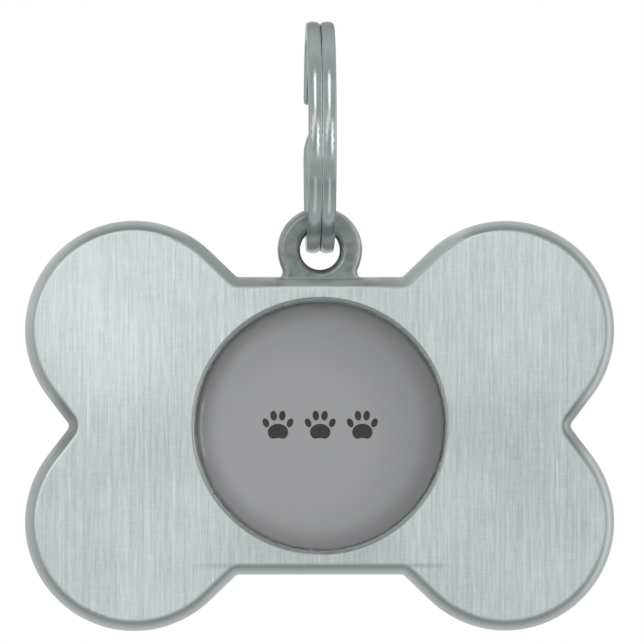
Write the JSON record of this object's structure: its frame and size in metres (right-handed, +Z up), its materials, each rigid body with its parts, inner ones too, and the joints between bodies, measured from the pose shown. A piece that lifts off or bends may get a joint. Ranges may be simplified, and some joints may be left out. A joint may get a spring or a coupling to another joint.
{
  "type": "pet id tag",
  "caption": "Bone-shaped metal pet tag with a round domed insert in its face and an eye that hangs from a split ring, for clipping to a collar.",
  "frame": {"origin": "centre of the split ring, where the collar's own ring passes through", "axes": "+Z up, from the tag to the ring's top; the tag's face looks along -Y and its back along +Y; X is the ring's axis and runs across the tag"},
  "size_m": [0.0382, 0.015, 0.0394],
  "materials": {
    "ring_steel": "nickel-plated steel wire, polished",
    "brushed_alloy": "plated casting, face brushed upright, rims polished",
    "adhesive": "soft white double-sided pad",
    "printed_sheet": "thin metal disc, printed mid grey",
    "clear_resin": "clear glossy doming resin"
  },
  "bodies": {
    "ring": {"split_ring": "ring_steel"},
    "tag": {"tag_body": "brushed_alloy", "adhesive_disc": "adhesive", "printed_disc": "printed_sheet", "resin_dome": "clear_resin"}
  },
  "joints": [
    {"name": "tag_sway", "type": "hinge", "parent": "ring", "child": "tag", "pos_m": [0, 0, -0.00728], "axis": [0, 1, 0], "range_deg": [-75, 75]}
  ]
}
